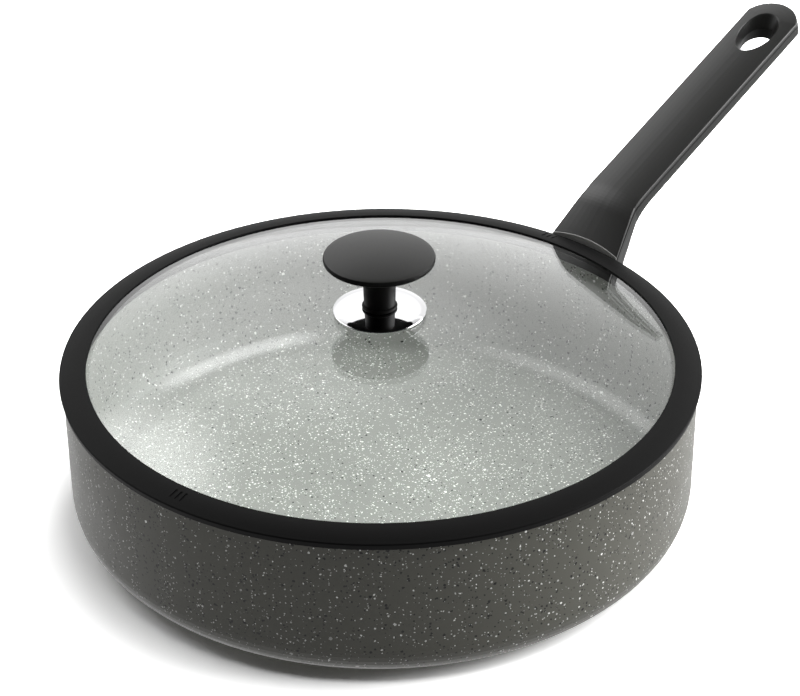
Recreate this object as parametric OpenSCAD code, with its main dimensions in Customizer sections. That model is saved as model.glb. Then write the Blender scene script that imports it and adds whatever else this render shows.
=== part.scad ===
// Saute pan with a glass lid: a forged aluminium pan, a two-part handle on a
// welded bracket, and a domed glass lid in a silicone rim with a raised knob.
// Millimetres. Z is up, the pan stands on z = 0, and the handle runs along +X.

/* [Pan] */
// Inside diameter of the pan
pan_inner_d = 280; // [240:1:320]
// Height of the pan's rim above the surface it stands on
pan_height = 70; // [55:0.5:100]
// Thickness of the side wall
wall = 3.3; // [2.5:0.1:5]
// Thickness of the base, with the steel plate in it
base = 5; // [4:0.1:8]
// Radius of the outer corner between wall and base
corner_r = 16.5; // [10:0.5:22]
// Radius of the inner corner between wall and cooking surface
inner_corner_r = 20; // [10:0.5:26]
// Bevel on the two edges of the rim
rim_bevel = 0.6; // [0.2:0.1:1]

/* [Steel plate in the base] */
// Diameter of the plate
plate_d = 210; // [180:1:220]
// Thickness of the plate
plate_t = 1.2; // [0.8:0.1:1.6]
// Diameter of the holes that key it to the aluminium
plate_hole_d = 5; // [3:0.5:6]
// Rings of holes
plate_rings = 4; // [2:1:4]
// Radius of the first ring of holes
plate_ring_r = 48; // [40:1:52]
// Distance from the outer ring of holes to the plate's edge
plate_margin = 12; // [8:0.5:16]
// Holes in the first ring, and how many more each ring after it has
plate_ring_count = 16; // [12:1:20]

/* [Lid rim] */
// How far the silicone reaches past the outside of the pan's wall
rim_overhang = 1.6; // [0.8:0.1:3]
// Height of the silicone's outer band
rim_band_h = 3; // [2:0.1:5]
// Width of the silicone's top face
rim_w = 12.2; // [10.5:0.1:14]
// Height of the top face's inner edge above its outer edge
rim_rise = 2.2; // [1.5:0.1:4]
// How far the top face bulges above a straight line between its edges
rim_bulge = 0.5; // [0.1:0.1:1]
// Depth of the ring that reaches into the pan
plug_depth = 6.5; // [4:0.5:12]
// Thickness of the ring that reaches into the pan
plug_t = 4.2; // [3.5:0.1:5]
// Gap between that ring and the pan's inside
plug_gap = 0.7; // [0.4:0.1:1.5]
// Height of the silicone's inner lip above the glass
lip_step = 0.5; // [0.3:0.1:1]
// Length of each groove in the two marks on the rim
mark_len = 5; // [3:0.5:6]
// Angle of the first mark from the handle
mark_turn = 6.6; // [-40:0.2:40]

/* [Glass] */
// Thickness of the glass
glass_t = 4; // [3:0.1:5]
// Height of the glass dome above the silicone's inner edge
dome_h = 23; // [15:0.1:32]
// Diameter of the hole for the knob's screw
glass_hole_d = 10; // [9:0.5:12]

/* [Knob] */
// Diameter of the knob's disc
knob_d = 50; // [40:0.5:60]
// Height of the knob above its steel plate
knob_h = 28.8; // [25:0.1:40]
// Height of the disc's edge band
knob_edge_h = 2.5; // [2:0.1:5]
// Height of the disc's dome above its edge band
knob_dome_h = 3; // [1:0.1:5]
// Diameter of the stem below the disc
stem_d = 15; // [13:0.1:18]
// How much thinner the stem is at its foot
stem_taper = 0.8; // [0:0.1:1.5]
// Diameter of the ring at the stem's foot
foot_ring_d = 16; // [14.5:0.1:20]
// Height of the ring at the stem's foot
foot_ring_h = 1.5; // [1:0.1:3]
// Diameter of the polished steel plate under the knob
rose_d = 42; // [34:0.5:50]
// Thickness of that plate
rose_t = 0.8; // [0.6:0.1:1.2]
// Height of that plate's crown above its edge
rose_crown = 1.2; // [0.6:0.1:2]

/* [Knob fixing] */
// Diameter of the knob's screw
screw_d = 5; // [4:0.5:6]
// Gap all round between the screw and what turns on it
screw_gap = 0.05; // [0.02:0.01:0.1]
// Diameter of the brass insert in the knob
insert_d = 9; // [8:0.1:10]
// Length of the brass insert
insert_l = 14; // [10:0.5:18]
// Thickness of the gasket between glass and steel plate, at its middle
gasket_t = 1; // [0.6:0.1:1.4]
// Diameter of the gaskets above and below the glass
gasket_d = 24; // [18:0.5:30]
// Thickness of the steel washer under the glass
washer_t = 1.2; // [0.8:0.1:2]
// Diameter of that washer
washer_d = 18; // [15:0.5:22]
// Thickness of the spring washer on the screw
spring_washer_t = 1.2; // [0.8:0.1:1.6]
// Height of the screw's head
head_h = 3; // [2.5:0.1:4]

/* [Handle] */
// Distance from the pan's wall out to the handle's bend
bend_out = 20.4; // [18:0.1:30]
// Height of the bend above the pan's rim
bend_rise = 22.7; // [18:0.1:30]
// Slope of the neck between pan and bend
neck_angle = 46; // [40:0.5:50]
// Slope of the grip beyond the bend
grip_angle = 23; // [12:0.1:30]
// Length of the grip from bend to tip
grip_l = 150; // [125:0.5:170]
// Width of the grip
grip_w = 30; // [26:0.1:36]
// Thickness of the grip
grip_t = 11; // [10:0.1:14]
// How much larger the radius of the grip's round end is than half its width
tip_flatness = 1.4; // [0.2:0.1:6]
// Width of the handle's foot against the pan
foot_w = 43; // [40:0.5:50]
// Height of the handle's foot against the pan
foot_h = 32; // [28:0.5:36]
// Thickness of the upper shell at its edge
upper_t = 3.8; // [3:0.1:5]
// Depth of the groove between the two shells
groove = 0.6; // [0.3:0.1:1]
// How far the upper shell's top falls from its middle to its edges
crown = 1.2; // [0.4:0.1:1.4]
// Radius of the upper shell's edge
upper_edge_r = 0.8; // [0.4:0.1:2]
// Radius of the lower shell's edge
lower_edge_r = 4; // [2:0.1:5]
// Gap between the handle's scooped end and the lid's rim
lid_clearance = 1.8; // [1:0.1:4]

/* [Hanging eye] */
// Length of the eye on top of the grip
eye_l = 28.2; // [22:0.1:32]
// Width of the eye on top of the grip
eye_w = 19.2; // [16:0.1:21]
// Distance from the grip's tip to the eye
eye_inset = 9.4; // [8:0.1:14]
// Depth at which the eye is narrowest
eye_waist = 5.5; // [5:0.1:7]
// Length of the eye at that depth
eye_waist_l = 20.8; // [16:0.1:24]
// Width of the eye at that depth
eye_waist_w = 15.2; // [12:0.1:16]
// Distance from the grip's tip to the eye at that depth
eye_waist_inset = 14.6; // [11:0.1:18]
// Length of the eye underneath
eye_under_l = 19.2; // [16:0.1:24]
// Width of the eye underneath
eye_under_w = 17; // [13:0.1:19]
// Distance from the grip's tip to the eye underneath
eye_under_inset = 17.2; // [12:0.1:20]
// Radius of the eye's edges
eye_edge = 0.8; // [0.3:0.1:1.2]
// Thickness of the upper shell's collar round the eye
collar_t = 1.4; // [1:0.1:2]

/* [Bracket] */
// Width of the bracket's welded pad
pad_w = 30; // [24:0.5:32]
// Height of the bracket's welded pad
pad_h = 18; // [14:0.5:20]
// Thickness of the bracket's welded pad
pad_t = 2.5; // [2:0.1:3.5]
// Width of the tongue inside the handle
tongue_w = 16; // [12:0.5:20]
// Thickness of the tongue
tongue_t = 6; // [5:0.1:7]
// Gap between the lower shell and the bracket and collar inside it
bracket_gap = 0.2; // [0.1:0.05:0.4]
// Diameter of the handle's screw
handle_screw_d = 5; // [4:0.5:6]
// Distance of the handle's screw from the bend, along the neck
screw_back = 16; // [13:0.5:19]

/* [Hidden] */
$fn = 96;

// Gap between two faces that seat on each other
seat = 0.05;
// Longer than any piece is thick, for cuts that go right through
through = pan_inner_d;
// Gap between the lid and the pan where the lid rests
lid_seat = 0.1;

pan_in_r = pan_inner_d / 2;
pan_out_r = pan_in_r + wall;

// Lid heights and radii, from the pan up
rim_z = pan_height + lid_seat;
crease_z = rim_z + rim_band_h;
lip_z = crease_z + rim_rise;
rim_out_r = pan_out_r + rim_overhang;
rim_in_r = rim_out_r - rim_w;
plug_r = pan_in_r - plug_gap;
glass_wrap = 2.3;
glass_r = plug_r - glass_wrap;
glass_z = lip_z - lip_step;
dome_r = (rim_in_r * rim_in_r + dome_h * dome_h) / (2 * dome_h);
dome_z = glass_z + dome_h - dome_r;
glass_top = dome_z + dome_r;
glass_low = glass_top - glass_t;

// Distance between the rings of holes in the steel plate
plate_ring_step = (plate_d / 2 - plate_margin - plate_ring_r) / (plate_rings - 1);

// Knob heights
rose_low = glass_top + gasket_t;
rose_top = rose_low + rose_t;
rose_r = rose_d / 2;
rose_ball_r = (rose_r * rose_r + rose_crown * rose_crown) / (2 * rose_crown);
knob_z = rose_top + seat;
knob_top = knob_z + knob_h;
knob_edge_z = knob_top - knob_dome_h - knob_edge_h;
gasket_low_t = 1.2;
washer_top = glass_under(washer_d / 2 + 1) - gasket_low_t - 2 * seat;
spring_top = washer_top - washer_t - seat;
head_top = spring_top - spring_washer_t - seat;
screw_r = screw_d / 2;
head_r = screw_d * 0.95;
socket_r = screw_d * 0.3;

function mix(a, b, t) = a + (b - a) * t;
function clamp01(t) = max(0, min(1, t));
function ease(t) = let (c = clamp01(t)) c * c * (3 - 2 * c);

// Pan body

module pan_body() {
    color([0.36, 0.37, 0.34])
    difference() {
        rotate_extrude($fn = 180) pan_profile();
        // Recess for the steel plate
        translate([0, 0, -1])
            cylinder(h = 1 + plate_t + seat, r = plate_d / 2 + seat, $fn = 180);
    }
}

// Half section of the pan, from the middle of the base round to the rim
module pan_profile() {
    steps = 10;
    out_c = [pan_out_r - corner_r, corner_r];
    in_c = [pan_in_r - inner_corner_r, base + inner_corner_r];
    polygon(concat(
        [[0, 0]],
        [for (i = [0 : steps]) let (a = -90 + 90 * i / steps)
            out_c + corner_r * [cos(a), sin(a)]],
        [[pan_out_r, pan_height - rim_bevel],
         [pan_out_r - rim_bevel, pan_height],
         [pan_in_r + rim_bevel, pan_height],
         [pan_in_r, pan_height - rim_bevel]],
        [for (i = [steps : -1 : 0]) let (a = -90 + 90 * i / steps)
            in_c + inner_corner_r * [cos(a), sin(a)]],
        [[0, base]]
    ));
}

// Steel plate pressed into the base, with a plain middle and rings of keying holes
module induction_base() {
    color([0.72, 0.72, 0.73])
    difference() {
        cylinder(h = plate_t, r = plate_d / 2, $fn = 180);
        for (ring = [0 : plate_rings - 1]) {
            count = plate_ring_count * (1 + ring / 2);
            for (i = [0 : count - 1])
                rotate([0, 0, 360 * (i + ring / 2) / count])
                translate([plate_ring_r + plate_ring_step * ring, 0, -1])
                    cylinder(h = plate_t + 2, d = plate_hole_d, $fn = 24);
        }
    }
}

// Handle: a spine that climbs the neck, turns at the bend and runs out along the grip.
// A place on the handle is given by its distance from the bend, t, its distance from the
// middle, s, and its depth below the top.

bend = [pan_out_r + bend_out, pan_height + bend_rise];
bend_blend = 7;
// How far the shells run on into the wall before it cuts them off
foot_in = 3;
foot_t = -(bend_out + foot_in) / cos(neck_angle);
tip_round = grip_w / 2 + tip_flatness;
tip_middle = grip_l - tip_round;
neck_end = 12.5;
neck_w = grip_w + 0.5;

function along(angle) = [cos(angle), sin(angle)];
function curve(p0, p1, p2, u) = mix(mix(p0, p1, u), mix(p1, p2, u), u);
function spine(t) =
    t < -bend_blend ? bend + t * along(neck_angle)
    : t > bend_blend ? bend + t * along(grip_angle)
    : curve(bend - bend_blend * along(neck_angle), bend,
            bend + bend_blend * along(grip_angle), (t + bend_blend) / (2 * bend_blend));

// Share of the way from the foot, 0, to the start of the plain grip, 1
function neck_share(t) = clamp01((t - foot_t) / (neck_end - foot_t));
// Direction that points into the handle from its top
function inward(t) = along(mix(-90, grip_angle - 90, ease(neck_share(t))));
function handle_depth(t) = mix(foot_h, grip_t, ease(neck_share(t)));
function half_w(t) =
    t < 0 ? mix(foot_w, neck_w, clamp01((t - foot_t) / -foot_t)) / 2
    : mix(neck_w, grip_w, ease(t / (1.5 * neck_end))) / 2;

function handle_point(t, s, depth) =
    let (p = spine(t) + depth * inward(t)) [p[0], s, p[1]];

// Distances of the cross sections from the bend
stations = concat(
    [for (i = [0 : 4]) mix(foot_t, -bend_blend - 1, i / 4)],
    [for (i = [0 : 8]) mix(-bend_blend, bend_blend, i / 8)],
    [neck_end, 24, 50, 80, 104]
);
tip_steps = 12;

// One closed line round the handle's outline. inset and drop give how far each place is
// drawn in and how deep it lies, from its distance t.
function outline(inset, drop) = concat(
    [for (t = stations) handle_point(t, half_w(t) - inset(t), drop(t))],
    [for (i = [-tip_steps : tip_steps])
        let (r = tip_round - inset(grip_l), a = -asin((grip_w / 2 - inset(grip_l)) / r) * i / tip_steps)
        handle_point(tip_middle + r * cos(a), r * sin(a), drop(grip_l))],
    [for (i = [len(stations) - 1 : -1 : 0]) let (t = stations[i])
        handle_point(t, inset(t) - half_w(t), drop(t))]
);

// Closed solid through a stack of such lines, the first at the bottom
module stack(lines) {
    n = len(lines[0]);
    m = len(lines);
    half = floor(n / 2);
    last = (m - 1) * n;
    polyhedron(
        points = [for (line = lines) for (p = line) p],
        faces = concat(
            [for (k = [0 : m - 2], i = [0 : n - 2]) each let (a = k * n + i)
                [[a, a + 1, a + n], [a + 1, a + n + 1, a + n]]],
            [for (i = [0 : half - 2]) each
                [[i, n - 1 - i, i + 1], [i + 1, n - 1 - i, n - 2 - i]]],
            [[half - 1, half + 1, half]],
            [for (i = [0 : half - 2]) each let (a = last + i, b = last + n - 1 - i)
                [[a, a + 1, b], [a + 1, b - 1, b]]],
            [[last + half, last + half + 1, last + half - 1]],
            [for (k = [0 : m - 2]) each let (a = k * n, b = k * n + n - 1)
                [[a, a + n, b], [a + n, b + n, b]]]
        ),
        convexity = 6
    );
}

// Upper shell: flat on the parting line, a rounded edge, then a crowned top
module upper_form() {
    edge_h = min(upper_edge_r, upper_t - groove - 0.5 - crown);
    stack(concat(
        [outline(function(t) groove, function(t) upper_t)],
        [outline(function(t) groove, function(t) upper_t - groove)],
        [outline(function(t) 0, function(t) upper_t - groove - 0.4)],
        [for (i = [0 : 4]) let (e = [1, 1] - along(22.5 * i))
            outline(function(t) upper_edge_r * e[0], function(t) crown + edge_h * e[1])],
        [for (share = [0.85, 0.68, 0.5, 0.32, 0.14])
            outline(function(t) half_w(t) - share * (half_w(t) - upper_edge_r),
                    function(t) crown * share * share)]
    ));
}

// Lower shell: a straight side below the groove, then a rounded belly
module lower_form() {
    side = function(t) mix(upper_t + 2.7, grip_t - lower_edge_r, ease(neck_share(t)));
    belly = function(t) mix(0.42 * half_w(t), lower_edge_r, ease(neck_share(t)));
    stack(concat(
        [for (i = [4 : -1 : 0]) let (a = 22.5 * i)
            outline(function(t) belly(t) * (1 - cos(a)),
                    function(t) mix(side(t), handle_depth(t), sin(a)))],
        [outline(function(t) 0, function(t) upper_t + 0.5)],
        [outline(function(t) groove, function(t) upper_t)]
    ));
}

// Cut that keeps the handle off the lid's rim, from a height up
module lid_room(from) {
    translate([0, 0, from])
        cylinder(h = pan_height + 60 - from, r = rim_out_r + lid_clearance, $fn = 180);
}

// Hanging eye: egg-shaped lines, each given by its depth, length, width and distance from
// the tip. It narrows from the top to its waist and widens a little below it.
eye_top = [0, eye_l, eye_w, eye_inset];
eye_mid = [eye_waist, eye_waist_l, eye_waist_w, eye_waist_inset];
eye_under = [grip_t, eye_under_l, eye_under_w, eye_under_inset];
eye_steps = 45;
// How much broader the eye's far half is than its near half
eye_egg = 0.08;

function eye_line(level, out = 0, sink = 0) =
    [for (i = [0 : eye_steps - 1]) let (a = 180 - 360 * (i + 0.5) / eye_steps)
        handle_point(grip_l - level[3] - level[1] / 2 + (level[1] / 2 + out) * cos(a),
                     (level[2] / 2 + out) * sin(a) * (1 + eye_egg * cos(a)), level[0] + sink)];
function eye_level(depth) = mix(eye_top, eye_mid, depth / eye_waist);

module eye_cut() {
    stack(concat(
        [eye_line(eye_under, eye_edge, 2)],
        [for (i = [3 : -1 : 0]) let (e = eye_edge * ([1, 1] - along(30 * i)))
            eye_line(eye_under, e[0], -e[1])],
        [eye_line(eye_mid)],
        [for (i = [0 : 3]) let (e = eye_edge * ([1, 1] - along(30 * i)))
            eye_line(eye_level(e[1]), e[0])],
        [eye_line(eye_top, eye_edge, -2)]
    ));
}

// Collar of the upper shell that lines the eye inside the lower shell
module eye_collar(gap) {
    stack([eye_line(eye_mid, collar_t + gap, gap), eye_line(eye_level(upper_t - 1), collar_t + gap)]);
}

module handle_upper() {
    color([0.16, 0.16, 0.15])
    difference() {
        union() {
            upper_form();
            eye_collar(0);
        }
        lid_room(0);
        eye_cut();
    }
}

module handle_lower() {
    color([0.33, 0.33, 0.32])
    difference() {
        lower_form();
        cylinder(h = pan_height, r = pan_out_r + bracket_gap, $fn = 180);
        lid_room(pan_height - 1.5);
        eye_cut();
        eye_collar(bracket_gap);
        bracket_form(bracket_gap);
        screw_place() {
            translate([0, 0, -foot_h])
                cylinder(h = foot_h + handle_screw_l, d = handle_screw_d + 0.6, $fn = 48);
            translate([0, 0, -foot_h]) cylinder(h = foot_h, r = handle_head_r + 0.5, $fn = 48);
        }
    }
}

// Bracket: a curved pad welded to the wall and a tongue that follows the neck
tongue_top = upper_t + 2.4;
tongue_end = -4;
pad_top = pan_height - 6;

module bracket_form(gap) {
    // Pad
    intersection() {
        difference() {
            cylinder(h = pad_top + gap, r = pan_out_r + pad_t + gap, $fn = 180);
            translate([0, 0, -1])
                cylinder(h = pad_top + 5, r = pan_out_r + (gap > 0 ? -5 : seat), $fn = 180);
        }
        translate([pan_out_r, 0, pad_top - pad_h / 2])
            cube([40, pad_w + 2 * gap, pad_h + 2 * gap], center = true);
    }
    // Tongue
    rotate([90, 0, 0])
        linear_extrude(height = tongue_w + 2 * gap, center = true) tongue_side(gap);
}

module tongue_side(gap) {
    ts = [for (i = [0 : 8]) mix(tongue_start, tongue_end + gap, i / 8)];
    polygon(concat(
        [for (t = ts) spine(t) + (tongue_top - gap) * inward(t)],
        [for (i = [8 : -1 : 0]) tongue_low(ts[i], gap)]
    ));
}
tongue_start = -(bend_out - pad_t * 0.5) / cos(neck_angle);
// Lower edge of the tongue, which deepens towards the pad beyond the screw's head
function root(t) = 6 * ease((-t - screw_back - 5) / 6);
function tongue_low(t, gap = 0) = spine(t) + (tongue_top + tongue_t + root(t) + gap) * inward(t);

module handle_bracket() {
    color([0.75, 0.76, 0.77])
    difference() {
        bracket_form(0);
        screw_place()
            translate([0, 0, -foot_h])
                cylinder(h = 2 * foot_h, d = handle_screw_d + 2 * seat, $fn = 48);
    }
}

// Handle screw, square to the tongue: Z points up into it from the shoulder in the shell
handle_head_r = handle_screw_d * 0.9;
handle_head_h = handle_screw_d * 0.6;
handle_washer_t = 1;
// Depth of the shell between the tongue and the shoulder
shoulder_t = 2.4;
// Length of the screw below its head, which ends inside the tongue
handle_screw_l = handle_washer_t + shoulder_t + bracket_gap + tongue_t * 0.7;
// Slope of the tongue's lower edge at the screw
screw_slope = tongue_low(3 - screw_back) - tongue_low(-3 - screw_back);
screw_angle = atan2(screw_slope[1], screw_slope[0]);

module screw_place() {
    p = tongue_low(-screw_back) + (bracket_gap + shoulder_t) * along(screw_angle - 90);
    translate([p[0], 0, p[1]]) rotate([0, -screw_angle, 0]) children();
}

module handle_washer() {
    color([0.72, 0.72, 0.73])
    screw_place()
    translate([0, 0, -handle_washer_t - seat])
    difference() {
        cylinder(h = handle_washer_t, r = handle_head_r + 0.2, $fn = 48);
        translate([0, 0, -1]) cylinder(h = handle_washer_t + 2, d = handle_screw_d + 0.3, $fn = 48);
    }
}

module handle_screw() {
    color([0.7, 0.7, 0.72])
    screw_place()
    translate([0, 0, -handle_washer_t - 2 * seat])
    difference() {
        union() {
            cylinder(h = handle_screw_l, d = handle_screw_d, $fn = 48);
            translate([0, 0, -handle_head_h])
                cylinder(h = handle_head_h, r1 = handle_head_r - 0.6, r2 = handle_head_r, $fn = 48);
        }
        // Six-sided socket
        translate([0, 0, -handle_head_h - 1])
            cylinder(h = 1 + handle_head_h * 0.7, r = handle_screw_d * 0.33, $fn = 6);
    }
}

// Lid: the dome of the glass, given by how far out from its surface the ball is drawn
module dome(out) {
    translate([0, 0, dome_z]) sphere(r = dome_r + out, $fn = 360);
}

module lid_glass() {
    color([0.82, 0.88, 0.86, 0.35])
    difference() {
        intersection() {
            dome(0);
            cylinder(h = through, r = glass_r, $fn = 180);
        }
        dome(-glass_t);
        cylinder(h = through, d = glass_hole_d, $fn = 48);
    }
}

// Silicone rim: a bulging top, an outer band, a flat that rests on the pan and a ring inside it
module lid_rim() {
    color([0.13, 0.13, 0.13])
    difference() {
        rotate_extrude($fn = 180) rim_profile();
        // Groove for the glass
        difference() {
            intersection() {
                dome(seat);
                cylinder(h = through, r = glass_r + seat, $fn = 180);
            }
            dome(-glass_t - seat);
        }
        // Two marks of three short grooves, on opposite sides
        for (side = [0, 180], i = [-1 : 1])
            rotate([0, 0, mark_turn + side + 1.1 * i]) mark_groove();
    }
}

module rim_profile() {
    round_r = 0.7;
    band_lean = 0.5;
    steps = 14;
    under = 2;
    polygon(concat(
        // Outer band and its rounded top edge
        [[plug_r, rim_z], [rim_out_r - band_lean, rim_z]],
        [for (i = [0 : 4]) let (a = 18 * i)
            [rim_out_r - round_r * (1 - cos(a)), crease_z - round_r * (1 - sin(a))]],
        // Top face
        [for (i = [1 : steps]) let (u = i / steps)
            [mix(rim_out_r - round_r, rim_in_r + 0.3, u),
             mix(crease_z, lip_z, u) + rim_bulge * 4 * u * (1 - u)]],
        // Inner lip, the inside of the glass groove, and the lip under the glass
        [[rim_in_r, lip_z - 0.3],
         [rim_in_r, glass_under(rim_in_r) - under],
         [plug_r - plug_t, glass_under(plug_r - plug_t) - under - 0.8]],
        // Ring inside the pan, with a soft leading edge
        [[plug_r - plug_t, rim_z - plug_depth],
         [plug_r - 1.2, rim_z - plug_depth],
         [plug_r, rim_z - plug_depth + 1.6]]
    ));
}
function glass_under(r) = dome_z + sqrt(pow(dome_r - glass_t, 2) - r * r);

module mark_groove() {
    r = (rim_out_r + rim_in_r) / 2;
    slope = atan(rim_rise / rim_w);
    translate([r, 0, (crease_z + lip_z) / 2 + rim_bulge])
    rotate([0, slope, 0])
        cube([mark_len, 1, 0.8], center = true);
}

// Knob: a domed disc on a slim stem, with a bore for the brass insert
module knob() {
    color([0.14, 0.14, 0.14])
    difference() {
        rotate_extrude($fn = 120) knob_profile();
        translate([0, 0, knob_z - 1])
            cylinder(h = 1 + insert_l + 4, d = insert_d + 2 * seat, $fn = 48);
    }
}

module knob_profile() {
    r = knob_d / 2;
    edge = knob_edge_h / 2;
    steps = 12;
    ball = (r * r + knob_dome_h * knob_dome_h) / (2 * knob_dome_h);
    fillet = 3;
    top_r = stem_d / 2;
    low_r = top_r - stem_taper / 2;
    polygon(concat(
        [[0, knob_z], [foot_ring_d / 2, knob_z], [foot_ring_d / 2, knob_z + foot_ring_h],
         [low_r, knob_z + foot_ring_h]],
        // Fillet under the disc
        [for (i = [0 : 5]) let (a = 18 * i)
            [top_r + fillet * (1 - cos(a)), knob_edge_z - fillet * (1 - sin(a))]],
        // Round edge of the disc
        [for (i = [0 : 8]) let (a = -90 + 22.5 * i)
            [r - edge + edge * cos(a), knob_edge_z + edge + edge * sin(a)]],
        // Dome
        [for (i = [1 : steps]) let (x = (r - edge) * (1 - i / steps))
            [x, knob_top - ball + sqrt(ball * ball - x * x)]]
    ));
}

module knob_insert() {
    color([0.78, 0.62, 0.32])
    translate([0, 0, knob_z])
    difference() {
        cylinder(h = insert_l, d = insert_d, $fn = 48);
        translate([0, 0, -1]) cylinder(h = insert_l + 2, r = screw_r + screw_gap, $fn = 48);
    }
}

// Dished steel plate between knob and glass
module knob_rose() {
    ball_z = rose_top - rose_ball_r;
    color([0.85, 0.85, 0.86])
    difference() {
        intersection() {
            translate([0, 0, ball_z]) sphere(r = rose_ball_r, $fn = 360);
            translate([0, 0, rose_low - 5]) cylinder(h = 10, r = rose_r, $fn = 120);
        }
        translate([0, 0, ball_z]) sphere(r = rose_ball_r - rose_t, $fn = 360);
        translate([0, 0, rose_low - 5]) cylinder(h = 10, r = screw_r + screw_gap, $fn = 48);
    }
}

// Silicone gasket under the steel plate, with a collar that lines the hole in the glass
module knob_gasket() {
    ball_z = rose_top - rose_ball_r;
    color([0.2, 0.2, 0.2])
    difference() {
        union() {
            intersection() {
                difference() {
                    translate([0, 0, glass_top - 2]) cylinder(h = 6, d = gasket_d, $fn = 96);
                    dome(seat);
                }
                translate([0, 0, ball_z]) sphere(r = rose_ball_r - rose_t - seat, $fn = 360);
            }
            translate([0, 0, glass_low])
                cylinder(h = glass_t + gasket_t / 2, d = glass_hole_d - 2 * seat, $fn = 48);
        }
        translate([0, 0, glass_low - 1]) cylinder(h = 20, r = screw_r + screw_gap, $fn = 48);
    }
}

module lower_gasket() {
    color([0.2, 0.2, 0.2])
    translate([0, 0, washer_top + seat])
    difference() {
        cylinder(h = gasket_low_t, d = washer_d + 2, $fn = 72);
        translate([0, 0, -1]) cylinder(h = gasket_low_t + 2, r = screw_r + screw_gap, $fn = 48);
    }
}

module lower_washer() {
    color([0.75, 0.75, 0.76])
    translate([0, 0, washer_top - washer_t])
    difference() {
        cylinder(h = washer_t, d = washer_d, $fn = 72);
        translate([0, 0, -1]) cylinder(h = washer_t + 2, r = screw_r + screw_gap, $fn = 48);
    }
}

// Split washer: a ring with one slanted cut
module spring_washer() {
    color([0.6, 0.6, 0.62])
    translate([0, 0, spring_top - spring_washer_t])
    difference() {
        cylinder(h = spring_washer_t, r = head_r - 0.2, $fn = 48);
        translate([0, 0, -1]) cylinder(h = spring_washer_t + 2, r = screw_r + screw_gap, $fn = 48);
        translate([head_r / 2 + 1.2, 0, spring_washer_t / 2])
            rotate([20, 0, 0]) cube([head_r, 0.8, 4 * spring_washer_t], center = true);
    }
}

// Knob screw: its axis is the one the lid turns about
module knob_screw() {
    color([0.72, 0.72, 0.74])
    difference() {
        union() {
            translate([0, 0, head_top])
                cylinder(h = knob_z + insert_l - 1 - head_top, r = screw_r, $fn = 48);
            translate([0, 0, head_top - head_h])
                cylinder(h = head_h, r1 = head_r - 0.8, r2 = head_r, $fn = 48);
        }
        // Six-sided socket
        translate([0, 0, head_top - head_h - 1])
            cylinder(h = 1 + head_h * 0.65, r = socket_r, $fn = 6);
    }
}

pan_body();
induction_base();
handle_bracket();
handle_lower();
handle_upper();
handle_washer();
handle_screw();
lid_glass();
lid_rim();
knob();
knob_insert();
knob_rose();
knob_gasket();
lower_gasket();
lower_washer();
spring_washer();
knob_screw();
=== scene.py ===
"""A saute pan with a domed glass lid, dressed round its CAD frame, in metres."""
import math

import bpy
from mathutils import Matrix, Vector


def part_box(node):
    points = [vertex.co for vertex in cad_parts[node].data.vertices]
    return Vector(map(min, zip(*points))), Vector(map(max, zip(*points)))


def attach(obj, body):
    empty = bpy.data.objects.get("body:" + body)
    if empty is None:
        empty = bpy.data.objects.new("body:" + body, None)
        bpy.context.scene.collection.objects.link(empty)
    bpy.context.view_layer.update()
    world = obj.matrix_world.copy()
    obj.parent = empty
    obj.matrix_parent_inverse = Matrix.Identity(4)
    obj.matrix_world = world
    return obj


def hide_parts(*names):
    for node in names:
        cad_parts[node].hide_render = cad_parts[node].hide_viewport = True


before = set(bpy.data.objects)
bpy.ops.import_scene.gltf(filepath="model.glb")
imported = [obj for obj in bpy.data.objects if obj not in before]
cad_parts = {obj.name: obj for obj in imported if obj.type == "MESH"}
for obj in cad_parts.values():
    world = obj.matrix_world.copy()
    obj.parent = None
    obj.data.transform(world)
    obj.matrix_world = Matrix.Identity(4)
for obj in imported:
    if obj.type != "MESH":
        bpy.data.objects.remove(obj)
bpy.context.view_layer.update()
bpy.ops.object.select_all(action="DESELECT")

# Camera. The photograph looks down on the pan past its left side, with a long lens, so
# that the handle runs away to the upper right.
CAMERA_SIDE = math.radians(-46.15)
LOOK_DOWN = math.radians(31.30)
CAMERA_DISTANCE = 1.0750
CAMERA_TILT = math.radians(-0.69)
AIM = Vector((0, 0, 0.0731))

to_camera = Vector((
    math.sin(CAMERA_SIDE) * math.cos(LOOK_DOWN),
    -math.cos(CAMERA_SIDE) * math.cos(LOOK_DOWN),
    math.sin(LOOK_DOWN),
))
bpy.ops.object.camera_add(location=AIM + CAMERA_DISTANCE * to_camera)
camera = bpy.context.object
camera.rotation_euler = (
    (-to_camera).to_track_quat("-Z", "Y").to_matrix() @ Matrix.Rotation(CAMERA_TILT, 3, "Z")
).to_euler()
camera.data.sensor_width = 36
camera.data.lens = 106.79
camera.data.shift_x = 0.0246
camera.data.shift_y = 0.01125
bpy.context.scene.camera = camera
bpy.context.scene.view_settings.view_transform = "Standard"


# Pan body. Forged aluminium, turned at the rim and base, then sprayed all over with a
# satin non-stick coating. Pale and dark mineral flakes lie in the coating, thickest on
# the cooking surface, where it is sprayed twice.
# The outside coat is darker than the inside: partly its own darker colour, partly painted shade for
# the outer wall, which stands out of the light.
SHADED_OUTSIDE_COATING = (0.092, 0.091, 0.076, 1)
INSIDE_COATING = (0.318, 0.321, 0.303, 1)
PALE_FLAKE = (0.95, 0.95, 0.92, 1)
DARK_FLAKE = (0.016, 0.016, 0.015, 1)
FLOOR_HEIGHT = 0.0045
CORNER_TOP = 0.0165
# The line between the inside and the outside of the wall runs from this radius at the
# base to this one above the corner
SKIN_SPLIT = (0.124, 0.1415)
# The second coat of the cooking surface thins out between these heights
SECOND_COAT = (0.005, 0.014)
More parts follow.
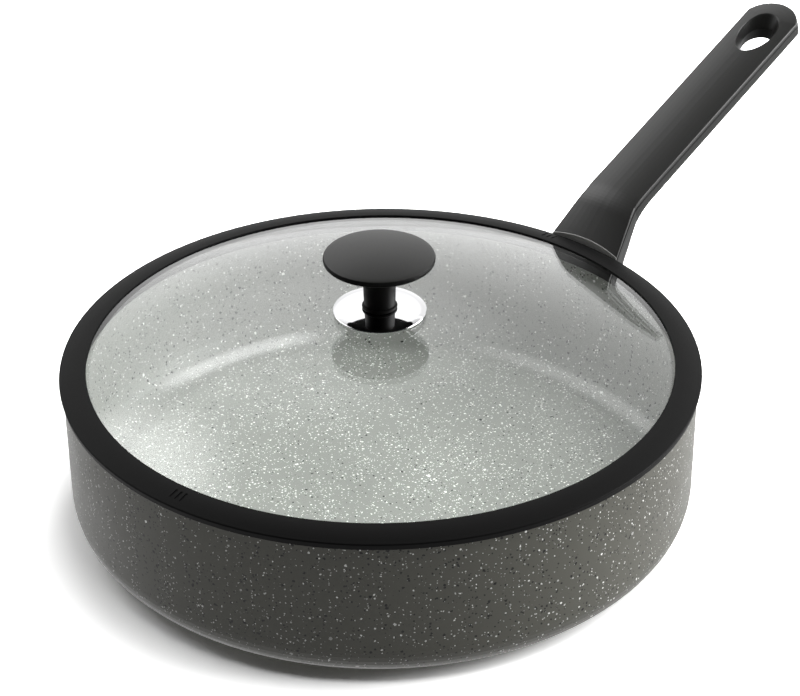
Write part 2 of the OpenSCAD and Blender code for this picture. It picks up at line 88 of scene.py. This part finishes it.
# Each layer of flakes: where its pattern starts, cells to a metre, the largest radius, and
# the share of cells with a flake on the wall and on the floor
FLAKE_LAYERS = (
    ((3.1, 0.4, 1.9), 440, 0.00072, 0.60, 0.12, DARK_FLAKE),
    ((0.7, 5.2, 2.3), 700, 0.00048, 0.55, 0.20, DARK_FLAKE),
    ((7.7, 1.3, 4.1), 820, 0.00034, 0.54, 1.35, PALE_FLAKE),
    ((2.9, 8.8, 0.6), 520, 0.00050, 0.44, 1.20, PALE_FLAKE),
    ((5.5, 3.3, 9.1), 230, 0.00085, 0.18, 0.16, PALE_FLAKE),
)
# Flakes outside show this share of their colour: painted shade for the outer wall
OUTSIDE_FLAKE_SHADE = 0.35


def put(tree, kind, inputs=None, **settings):
    """Adds a shader node to a tree, sets it up, and sets or links its inputs."""
    made = tree.nodes.new("ShaderNode" + kind)
    for setting, value in settings.items():
        setattr(made, setting, value)
    for socket, value in (inputs or {}).items():
        if isinstance(value, bpy.types.NodeSocket):
            tree.links.new(value, made.inputs[socket])
        else:
            made.inputs[socket].default_value = value
    return made


def new_group(name, inputs, results):
    """An empty node group: its tree, and the sockets for what it is given and gives."""
    tree = bpy.data.node_groups.new(name, "ShaderNodeTree")
    for sockets, direction in ((inputs, "INPUT"), (results, "OUTPUT")):
        for socket, kind in sockets.items():
            tree.interface.new_socket(
                socket, in_out=direction, socket_type="NodeSocket" + kind)
    given = tree.nodes.new("NodeGroupInput").outputs
    return tree, given, tree.nodes.new("NodeGroupOutput").inputs


def place_group(tree, group, inputs):
    """A copy of a node group in a material, with its own values."""
    return put(tree, "Group", inputs, node_tree=group).outputs


def maths(tree, operation, first, second=0.0):
    """A sum on one or two numbers or sockets."""
    return put(tree, "Math", {0: first, 1: second}, operation=operation).outputs[0]


def blend_colour(tree, share, low, high):
    """The first colour where share is 0, the second where it is 1."""
    mix = put(tree, "Mix", {"Factor": share, "A": low, "B": high}, data_type="RGBA")
    return mix.outputs["Result"]


def map_range(tree, value, low, high, to_low=0.0, to_high=1.0):
    """Carries a value from one range to another, and holds it at the ends."""
    return put(tree, "MapRange", {
        "Value": value, "From Min": low, "From Max": high, "To Min": to_low, "To Max": to_high,
    }).outputs["Result"]


def off_axis(tree, place):
    """How far a place lies from the pan's axis."""
    level = put(tree, "VectorMath", {0: place, 1: (1, 1, 0)}, operation="MULTIPLY").outputs[0]
    return put(tree, "VectorMath", {0: level}, operation="LENGTH").outputs["Value"]


def shaded(tree, colour, share):
    """A colour, or a socket's colour, darkened to a share of itself."""
    return put(tree, "Mix", {
        "Factor": 1.0, "A": colour, "B": (share, share, share, 1),
    }, data_type="RGBA", blend_type="MULTIPLY").outputs["Result"]


def new_material(name):
    """A material with its own tree, its shader and the piece's own coordinates."""
    material = bpy.data.materials.new(name)
    material.use_nodes = True
    tree = material.node_tree
    return material, tree, tree.nodes["Principled BSDF"], put(tree, "TexCoord").outputs["Object"]


def dress(node, material):
    """Gives a CAD node its finish, in its own slot."""
    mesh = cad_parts[node].data
    mesh.materials.clear()
    mesh.materials.append(material)


def flakes_group():
    """Ragged flakes: one at most in each cell, for a share of the cells."""
    tree, given, results = new_group("mineral_flakes", {
        "Vector": "Vector", "Seed": "Vector", "Cells": "Float", "Radius": "Float",
        "Share": "Float",
    }, {"Mask": "Float", "Draw": "Float"})
    moved = put(tree, "VectorMath", {
        0: given["Vector"], 1: given["Seed"],
    }, operation="ADD").outputs[0]
    wobble = put(tree, "TexNoise", {
        "Vector": moved, "Scale": maths(tree, "MULTIPLY", given["Cells"], 3.0), "Detail": 1.0,
    })
    centred = put(tree, "VectorMath", {
        0: wobble.outputs["Color"], 1: (0.5, 0.5, 0.5),
    }, operation="SUBTRACT")
    pushed = put(tree, "VectorMath", {
        0: centred.outputs[0], "Scale": maths(tree, "MULTIPLY", given["Radius"], 1.4),
    }, operation="SCALE")
    ragged = put(tree, "VectorMath", {0: moved, 1: pushed.outputs[0]}, operation="ADD").outputs[0]
    cell = put(tree, "TexVoronoi", {"Vector": ragged, "Scale": given["Cells"]})
    draw = put(tree, "SeparateColor", {0: cell.outputs["Color"]})
    # The draw decides which cells hold a flake, and how large it is
    spared = maths(tree, "SUBTRACT", 1.0, given["Share"])
    size = map_range(tree, draw.outputs[0], spared, 1.0)
    reach = maths(tree, "MULTIPLY", maths(tree, "POWER", size, 0.6), given["Radius"])
    reach = maths(tree, "MULTIPLY", reach, given["Cells"])
    tree.links.new(maths(tree, "LESS_THAN", cell.outputs["Distance"], reach), results["Mask"])
    tree.links.new(draw.outputs[1], results["Draw"])
    return tree


def coating():
    """The speckled coat: grey-brown outside, pale inside, crowded with flakes below. The outside is
    darker partly as painted shade.
    """
    material, tree, shader, place = new_material("speckled_coating")
    flakes = flakes_group()
    split = put(tree, "SeparateXYZ", {0: place}).outputs
    skin = map_range(tree, split["Z"], 0.0, CORNER_TOP, *SKIN_SPLIT)
    inside = maths(tree, "MULTIPLY", maths(tree, "LESS_THAN", off_axis(tree, place), skin),
                   maths(tree, "GREATER_THAN", split["Z"], FLOOR_HEIGHT))
    low_down = map_range(tree, split["Z"], *SECOND_COAT, 1.0, 0.0)
    on_floor = maths(tree, "MULTIPLY", inside, low_down)

    mottle = put(tree, "TexNoise", {"Vector": place, "Scale": 45.0, "Detail": 3.0}).outputs["Fac"]
    clusters = put(tree, "TexNoise", {"Vector": place, "Scale": 70.0, "Detail": 2.0}).outputs["Fac"]
    crowd = map_range(tree, clusters, 0.3, 0.7, 0.35, 1.0)
    colour = blend_colour(tree, inside, SHADED_OUTSIDE_COATING, INSIDE_COATING)
    colour = blend_colour(tree, mottle, shaded(tree, colour, 0.86), colour)
    for seed, cells, size, on_wall, on_base, flake in FLAKE_LAYERS:
        share = map_range(tree, on_floor, 0.0, 1.0, on_wall, on_base)
        made = place_group(tree, flakes, {
            "Vector": place, "Seed": seed, "Cells": cells, "Radius": size,
            "Share": maths(tree, "MULTIPLY", crowd, share),
        })
        # Painted shade: flakes on the outside wall are darkened to a share of their colour
        shaded_flake = tuple(OUTSIDE_FLAKE_SHADE * c for c in flake[:3]) + (1,)
        fresh = blend_colour(tree, maths(tree, "MAXIMUM", inside, made["Draw"]), shaded_flake, flake)
        colour = blend_colour(tree, made["Mask"], colour, fresh)
    tree.links.new(colour, shader.inputs["Base Color"])
    tree.links.new(map_range(tree, mottle, 0.3, 0.7, 0.32, 0.38), shader.inputs["Roughness"])
    shader.inputs["Specular IOR Level"].default_value = 0.25
    peel = put(tree, "TexNoise", {"Vector": place, "Scale": 700.0, "Detail": 3.0}).outputs["Fac"]
    bump = put(tree, "Bump", {"Height": peel, "Distance": 0.00001, "Strength": 0.3})
    tree.links.new(bump.outputs["Normal"], shader.inputs["Normal"])
    return material


dress("pan_body", coating())


# Steel plate in the base. Stainless steel, pressed into the aluminium and turned flat with
# it, so that fine rings run round it.
def tool_rings_group():
    """Fine rings round the axis, as a lathe or a brush leaves them."""
    tree, given, results = new_group(
        "tool_rings", {"Vector": "Vector", "Rings": "Float", "Roughness": "Float"},
        {"Height": "Float", "Roughness": "Float"},
    )
    ring = put(tree, "TexWave", {
        "Vector": given["Vector"], "Scale": given["Rings"], "Distortion": 0.4,
        "Detail": 3.0, "Detail Scale": 4.0,
    }, wave_type="RINGS", rings_direction="Z")
    spread = map_range(tree, ring.outputs["Fac"], 0.0, 1.0, 0.75, 1.25)
    tree.links.new(maths(tree, "MULTIPLY", given["Roughness"], spread), results["Roughness"])
    tree.links.new(ring.outputs["Fac"], results["Height"])
    return tree


tool_rings = tool_rings_group()


def turned_metal(name, colour, roughness, rings):
    """Bare metal with tool rings and faint stains."""
    material, tree, shader, place = new_material(name)
    made = place_group(tree, tool_rings, {"Vector": place, "Rings": rings, "Roughness": roughness})
    stain = put(tree, "TexNoise", {"Vector": place, "Scale": 60.0, "Detail": 4.0}).outputs["Fac"]
    dull = tuple(0.88 * c for c in colour[:3]) + (1,)
    tree.links.new(blend_colour(tree, stain, dull, colour), shader.inputs["Base Color"])
    shader.inputs["Metallic"].default_value = 1.0
    tree.links.new(made["Roughness"], shader.inputs["Roughness"])
    bump = put(tree, "Bump", {"Height": made["Height"], "Distance": 0.00002, "Strength": 0.4})
    tree.links.new(bump.outputs["Normal"], shader.inputs["Normal"])
    return material


dress("induction_base", turned_metal(
    "turned_steel", (0.62, 0.62, 0.61, 1), roughness=0.3, rings=300))


# Handle bracket. A cast aluminium pad, welded to the wall under the rim, with a tongue
# that reaches up into the handle. Blasted, not turned.
dress("handle_bracket", turned_metal(
    "bracket_aluminium", (0.75, 0.75, 0.76, 1), roughness=0.42, rings=40))


# Handle. Two mouldings of heat-proof plastic: a dark soft-touch upper shell and a
# greyer lower shell, joined at a groove and screwed to the bracket from below.
HANDLE_GRAIN = 2600
HANDLE_GRAIN_DEPTH = 0.00003
# The upper shell's scooped end beside the lid lies within this distance of the pan's axis
SCOOP = 0.1469
# The light grey painted on the scooped end: painted light, for the light it catches beside the lid
SCOOP_PAINTED_LIGHT = (0.33, 0.33, 0.32, 1)


def moulded_grain_group():
    """The fine even grain of a spark-eroded mould, and a faint broad mottle."""
    tree, given, results = new_group("moulded_grain", {
        "Vector": "Vector", "Grain": "Float", "Colour": "Color", "Roughness": "Float",
    }, {"Colour": "Color", "Roughness": "Float", "Height": "Float"})
    grain = put(tree, "TexNoise", {
        "Vector": given["Vector"], "Scale": given["Grain"], "Detail": 2.0,
    }).outputs["Fac"]
    broad = put(tree, "TexNoise", {
        "Vector": given["Vector"], "Scale": 22.0, "Detail": 3.0,
    }).outputs["Fac"]
    shade = shaded(tree, given["Colour"], 0.84)
    tree.links.new(blend_colour(tree, broad, shade, given["Colour"]), results["Colour"])
    spread = map_range(tree, grain, 0.3, 0.7, 0.92, 1.08)
    tree.links.new(maths(tree, "MULTIPLY", given["Roughness"], spread), results["Roughness"])
    tree.links.new(grain, results["Height"])
    return tree


moulded_grain = moulded_grain_group()


def moulding(name, colour, roughness, grain, depth, gloss):
    """Plastic or rubber as it leaves the mould."""
    material, tree, shader, place = new_material(name)
    shader.inputs["Specular IOR Level"].default_value = gloss
    made = place_group(tree, moulded_grain, {
        "Vector": place, "Grain": grain, "Colour": colour, "Roughness": roughness,
    })
    tree.links.new(made["Colour"], shader.inputs["Base Color"])
    tree.links.new(made["Roughness"], shader.inputs["Roughness"])
    bump = put(tree, "Bump", {"Height": made["Height"], "Distance": depth, "Strength": 0.5})
    tree.links.new(bump.outputs["Normal"], shader.inputs["Normal"])
    return material


def soft_touch():
    """The upper shell. Its scooped end beside the lid is painted a light grey: painted light."""
    material = moulding(
        "soft_touch", (0.0115, 0.0115, 0.011, 1), roughness=0.34,
        grain=HANDLE_GRAIN, depth=HANDLE_GRAIN_DEPTH, gloss=0.5)
    tree = material.node_tree
    colour = tree.nodes["Principled BSDF"].inputs["Base Color"]
    shell_colour = colour.links[0].from_socket
    place = put(tree, "TexCoord").outputs["Object"]
    # Painted light: within this distance the shell takes the light grey in place of its own dark
    # colour
    painted_light_on_scoop = maths(tree, "LESS_THAN", off_axis(tree, place), SCOOP)
    tree.links.new(blend_colour(tree, painted_light_on_scoop, shell_colour, SCOOP_PAINTED_LIGHT), colour)
    return material


dress("handle_upper", soft_touch())
dress("handle_lower", moulding(
    "handle_grey", (0.013, 0.013, 0.0125, 1), roughness=0.45,
    grain=HANDLE_GRAIN, depth=HANDLE_GRAIN_DEPTH, gloss=0.25))

zinc = turned_metal("zinc_plate", (0.62, 0.62, 0.64, 1), roughness=0.28, rings=300)
for node in ("handle_washer", "handle_screw"):
    dress(node, zinc)


# Glass. Clear tempered glass, bent to a shallow dome and ground at its edge. The knob's
# hole is drilled before it is tempered.
GLASS_TINT = (0.97, 0.985, 0.975, 1)
# What a lamp's light keeps on its way through the glass
LET_THROUGH = (0.93, 0.95, 0.94, 1)


def clear_glass():
    """Glass that bends the view but lets lamp light straight through to the pan."""
    material, tree, shader, place = new_material("lid_glass")
    shader.inputs["Base Color"].default_value = GLASS_TINT
    shader.inputs["IOR"].default_value = 1.52
    shader.inputs["Transmission Weight"].default_value = 1.0
    shader.inputs["Roughness"].default_value = 0.0
    shadow = put(tree, "LightPath").outputs["Is Shadow Ray"]
    through = put(tree, "BsdfTransparent", {"Color": LET_THROUGH})
    mix = put(tree, "MixShader", {0: shadow, 1: shader.outputs[0], 2: through.outputs[0]})
    tree.links.new(mix.outputs[0], tree.nodes["Material Output"].inputs["Surface"])
    return material


dress("lid_glass", clear_glass())


# Lid rim. Black silicone moulded round the edge of the glass, satin on top, with a fine
# matte grain and two small marks. The gaskets at the knob are the same silicone.
silicone = moulding(
    "silicone", (0.0030, 0.0030, 0.0030, 1), roughness=0.50,
    grain=1800, depth=0.00002, gloss=0.065)
for node in ("lid_rim", "knob_gasket", "lower_gasket"):
    dress(node, silicone)


# Knob. Matte black plastic: a domed disc on a slim stem with a bead round its foot, and a
# brass insert that takes the screw from inside the lid. The disc's top is satin; its edge
# and stem are duller and painted darker, as painted shade where they face away from the light.
DISC_RADIUS = 0.025
DISC_DOME = 0.003
DISC_EDGE = 0.0025
STEM_TOP = 0.0075
STEM_FOOT = 0.0071
STEM_FILLET = 0.003
# The bead round the stem's foot: how far out it reaches, and its own radius
BEAD_REACH = 0.008
BEAD = 0.00075
BORE_RADIUS = 0.00455
BORE_DEPTH = 0.018
# The disc's edge is rounded below and above, up to where the dome takes over
UNDER_ROUND = 0.0010
TOP_ROUND = 0.0012
DOME_SLOPE = 76.6
KNOB_GRAIN = 2200
KNOB_GRAIN_DEPTH = 0.00002


def arc(radius, height, size, start, end, steps):
    """Rings round a rounded edge. start and end are degrees up from level."""
    turns = [math.radians(start + (end - start) * i / steps) for i in range(steps + 1)]
    return [(radius + size * math.cos(turn), height + size * math.sin(turn)) for turn in turns]


def pull_rings(rings):
    """Draws a loop of edges from ring to ring. Each is a radius and a height."""
    bpy.ops.object.select_all(action="DESELECT")
    radius, height = rings[0]
    bpy.ops.mesh.primitive_circle_add(vertices=128, radius=radius, location=(0, 0, height))
    bpy.ops.object.transform_apply()
    bpy.ops.object.mode_set(mode="EDIT")
    bpy.ops.mesh.select_all(action="SELECT")
    for (r0, z0), (r1, z1) in zip(rings, rings[1:]):
        bpy.ops.mesh.extrude_region_move(TRANSFORM_OT_translate={"value": (0, 0, z1 - z0)})
        bpy.ops.transform.resize(value=(r1 / r0, r1 / r0, 1), center_override=(0, 0, z1))


def close_end():
    """Closes the selected loop to a point in its middle."""
    bpy.ops.mesh.extrude_region_move()
    bpy.ops.mesh.merge(type="CENTER")


def finish_turned(name, ridge):
    """Turns the faces outward, smooths all but the ridges, and names the piece."""
    bpy.ops.mesh.select_all(action="SELECT")
    bpy.ops.mesh.normals_make_consistent(inside=False)
    bpy.ops.object.mode_set(mode="OBJECT")
    bpy.ops.object.shade_smooth_by_angle(angle=math.radians(ridge))
    bpy.context.object.name = name
    return bpy.context.object


foot, crown = (corner[2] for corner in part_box("knob"))
disc_low = crown - DISC_DOME - DISC_EDGE
ball = (DISC_RADIUS ** 2 + DISC_DOME ** 2) / (2 * DISC_DOME)
tangent = DISC_RADIUS - TOP_ROUND + TOP_ROUND * math.cos(math.radians(DOME_SLOPE))


def dome(radius):
    return crown - ball + math.sqrt(ball * ball - radius * radius)


shoulder = dome(tangent) - TOP_ROUND * math.sin(math.radians(DOME_SLOPE))
rings = [(BORE_RADIUS, foot + BORE_DEPTH), (BORE_RADIUS, foot), (BEAD_REACH - BEAD, foot)]
rings += arc(BEAD_REACH - BEAD, foot + BEAD, BEAD, -75, 75, 8)
rings += [(STEM_FOOT, foot + 2 * BEAD), (STEM_TOP, disc_low - STEM_FILLET)]
rings += [(STEM_TOP + STEM_FILLET - r, disc_low - STEM_FILLET + z)
          for r, z in arc(0, 0, STEM_FILLET, 15, 90, 6)]
rings += [(0.018, disc_low)]
rings += arc(DISC_RADIUS - UNDER_ROUND, disc_low + UNDER_ROUND, UNDER_ROUND, -90, 0, 6)
rings += arc(DISC_RADIUS - TOP_ROUND, shoulder, TOP_ROUND, 0, DOME_SLOPE, 6)
rings += [(r, dome(r)) for r in (0.022, 0.018, 0.014, 0.010, 0.006, 0.003, 0.0005)]
pull_rings(rings)
# The top of the dome, then the end of the bore for the insert
close_end()
bpy.ops.mesh.select_all(action="DESELECT")
bpy.ops.mesh.select_non_manifold()
close_end()
knob = finish_turned("knob_handle", 50)
# Painted shade: the edge and stem take a darker, less glossy copy of the black, split off below the
# upper rounding
knob.data.materials.append(moulding(
    "knob_dull_painted_shade", (0.0025, 0.0025, 0.0024, 1), roughness=0.50,
    grain=KNOB_GRAIN, depth=KNOB_GRAIN_DEPTH, gloss=0.09))
knob.data.materials.append(moulding(
    "knob_satin", (0.0055, 0.0055, 0.0050, 1), roughness=0.40,
    grain=KNOB_GRAIN, depth=KNOB_GRAIN_DEPTH, gloss=0.36))
painted_shade_below = shoulder + 0.8 * TOP_ROUND
for face in knob.data.polygons:
    face.material_index = int(face.center.z > painted_shade_below)
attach(knob, "lid")
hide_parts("knob")

dress("knob_insert", turned_metal(
    "turned_brass", (0.78, 0.58, 0.28, 1), roughness=0.25, rings=400))
for node in ("knob_screw", "lower_washer", "spring_washer"):
    dress(node, zinc)


# Steel plate under the knob. Pressed to a shallow dome, its edge rolled smooth, then
# polished to a mirror.
PLATE_RADIUS = 0.021
PLATE_THICK = 0.0008
PLATE_CROWN = 0.0012
# How far the upper edge is rolled, and the sharp lower one is broken
PLATE_EDGE = 0.0003
PLATE_BREAK = 0.0001
SCREW_HOLE = 0.00255


def polished_steel():
    """A mirror with the faint haze that polishing leaves."""
    material, tree, shader, place = new_material("polished_steel")
    shader.inputs["Base Color"].default_value = (0.70, 0.70, 0.71, 1)
    shader.inputs["Metallic"].default_value = 1.0
    haze = put(tree, "TexNoise", {"Vector": place, "Scale": 400.0, "Detail": 2.0}).outputs["Fac"]
    tree.links.new(map_range(tree, haze, 0.0, 1.0, 0.02, 0.07), shader.inputs["Roughness"])
    return material


plate_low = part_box("knob_rose")[0][2]
plate_ball = (PLATE_RADIUS ** 2 + PLATE_CROWN ** 2) / (2 * PLATE_CROWN)


def plate_top(radius):
    crown_height = plate_low + PLATE_THICK + PLATE_CROWN
    return crown_height - plate_ball + math.sqrt(plate_ball * plate_ball - radius * radius)


reach = [SCREW_HOLE, 0.006, 0.010, 0.014, 0.0175, PLATE_RADIUS - PLATE_EDGE]
rings = [(r, plate_top(r)) for r in reach]
rings += [(PLATE_RADIUS - 0.3 * PLATE_EDGE, plate_top(PLATE_RADIUS) - 0.3 * PLATE_EDGE),
          (PLATE_RADIUS, plate_top(PLATE_RADIUS) - PLATE_EDGE),
          (PLATE_RADIUS, plate_low + PLATE_BREAK), (PLATE_RADIUS - PLATE_BREAK, plate_low)]
rings += [(r, plate_top(r) - PLATE_THICK) for r in reversed(reach)]
pull_rings(rings)
# The hole's two edges are joined by its wall
bpy.ops.mesh.select_all(action="DESELECT")
bpy.ops.mesh.select_non_manifold()
bpy.ops.mesh.bridge_edge_loops()
plate = finish_turned("polished_plate", 50)
plate.data.materials.append(polished_steel())
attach(plate, "lid")
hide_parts("knob_rose")


# Studio. A white floor and white surroundings, dark on the camera's side, with soft
# patches and two level strips of light at the back, which the lid mirrors. Three lamps:
# a key high over the handle, one low behind it on the right, and a fill on the right.

# How white the floor is to the camera, in reflections, and for the light it throws back
SEEN_FLOOR = 1.54
MIRRORED_FLOOR = 1.05
LIT_FLOOR = 0.36
# The lights round the pan: side and height in degrees, then the cosines, off its middle,
# where a light starts and where it is full, then its strength
SOFT_PATCHES = (
    (188, 43, 0.93, 0.99, 2.9),
    (105, 24, 0.74, 0.97, 0.2),
    (142, 36, 0.93, 0.99, 0.55),
)
LEVEL_STRIPS = (
    (151, 35.4, 0.987, 0.998, 2.0),
    (106, 37.6, 0.965, 0.995, 0.8),
)
STRIP_CORE = 0.010
STRIP_EDGE = 0.028
# The side that the camera stands on, kept dark so that the lid mirrors no front light
FRONT = -46
bpy.ops.mesh.primitive_plane_add(size=2.2)
floor = bpy.context.object
floor.name = "floor"
material, tree, shader, place = new_material("studio_floor")
path = put(tree, "LightPath").outputs
mirrored = maths(tree, "MAXIMUM", path["Is Glossy Ray"], path["Is Transmission Ray"])
paper = put(tree, "BsdfDiffuse", {
    "Color": map_range(tree, path["Is Camera Ray"], 0.0, 1.0, LIT_FLOOR, SEEN_FLOOR),
})
white = put(tree, "Emission", {"Strength": MIRRORED_FLOOR})
mix = put(tree, "MixShader", {0: mirrored, 1: paper.outputs[0], 2: white.outputs[0]})
tree.links.new(mix.outputs[0], tree.nodes["Material Output"].inputs["Surface"])
tree.nodes.remove(shader)
floor.data.materials.append(material)


def way_to(side, height):
    """The direction to a place in the studio, from its side and height in degrees."""
    a, e = math.radians(side), math.radians(height)
    return Vector((math.sin(a) * math.cos(e), -math.cos(a) * math.cos(e), math.sin(e)))


world = bpy.data.worlds.new("studio")
bpy.context.scene.world = world
world.use_nodes = True
tree = world.node_tree
direction = put(tree, "TexCoord").outputs["Generated"]


def towards(side, height):
    return put(tree, "VectorMath", {0: direction, 1: way_to(side, height)},
               operation="DOT_PRODUCT").outputs["Value"]


def soft_lobe(side, height, start, full, strength):
    """A round soft patch of light. start and full are cosines off its middle."""
    return put(tree, "MapRange", {
        "Value": towards(side, height), "From Min": start, "From Max": full,
        "To Min": 0.0, "To Max": strength,
    }, interpolation_type="SMOOTHSTEP").outputs["Result"]


def strip_light(side, height, start, full, strength):
    """A long narrow light that stands level, which the lid mirrors as an arc."""
    off_level = maths(tree, "ABSOLUTE", maths(
        tree, "SUBTRACT", towards(0, 90), math.sin(math.radians(height))))
    band = put(tree, "MapRange", {
        "Value": off_level, "From Min": STRIP_CORE, "From Max": STRIP_EDGE,
        "To Min": 1.0, "To Max": 0.0,
    }, interpolation_type="SMOOTHSTEP").outputs["Result"]
    return maths(tree, "MULTIPLY", band, soft_lobe(side, height, start, full, strength))


up = towards(0, 90)
dark_front = map_range(tree, towards(FRONT, 0), -0.5, 0.25, 1.0, 0.02)
dim_above = map_range(tree, up, 0.55, 0.93, 1.0, 0.04)
bright_horizon = map_range(tree, up, 0.0, 0.4, 1.35, 1.0)
walls = maths(tree, "MULTIPLY", maths(tree, "MULTIPLY", dark_front, dim_above), bright_horizon)
lights = [soft_lobe(*patch) for patch in SOFT_PATCHES]
lights += [strip_light(*strip) for strip in LEVEL_STRIPS]
lit = lights[0]
for light in lights[1:]:
    lit = maths(tree, "ADD", lit, light)
# The camera itself sees plain white behind the pan
seen = put(tree, "LightPath").outputs["Is Camera Ray"]
strength = map_range(tree, seen, 0.0, 1.0, maths(tree, "ADD", walls, lit), 1.0)
tree.links.new(strength, tree.nodes["Background"].inputs["Strength"])
tree.nodes["Background"].inputs["Color"].default_value = (1, 1, 1, 1)


def soft_light(name, side, height, distance, size, share, mirrored):
    """A square soft light. share is how brightly it lights a white card that faces it."""
    way = way_to(side, height)
    bpy.ops.object.light_add(type="AREA", location=AIM + distance * way)
    lamp = bpy.context.object
    lamp.name = name
    lamp.data.size = size
    lamp.data.energy = share * math.pi * math.pi * distance * distance
    lamp.rotation_euler = (-way).to_track_quat("-Z", "Y").to_euler()
    lamp.visible_camera = False
    lamp.visible_glossy = lamp.visible_transmission = mirrored


soft_light("key", side=50, height=76, distance=1.6, size=1.1, share=1.22, mirrored=False)
soft_light("back", side=112, height=38, distance=1.6, size=0.9, share=0.62, mirrored=False)
soft_light("fill", side=50, height=18, distance=1.3, size=1.0, share=1.85, mirrored=True)
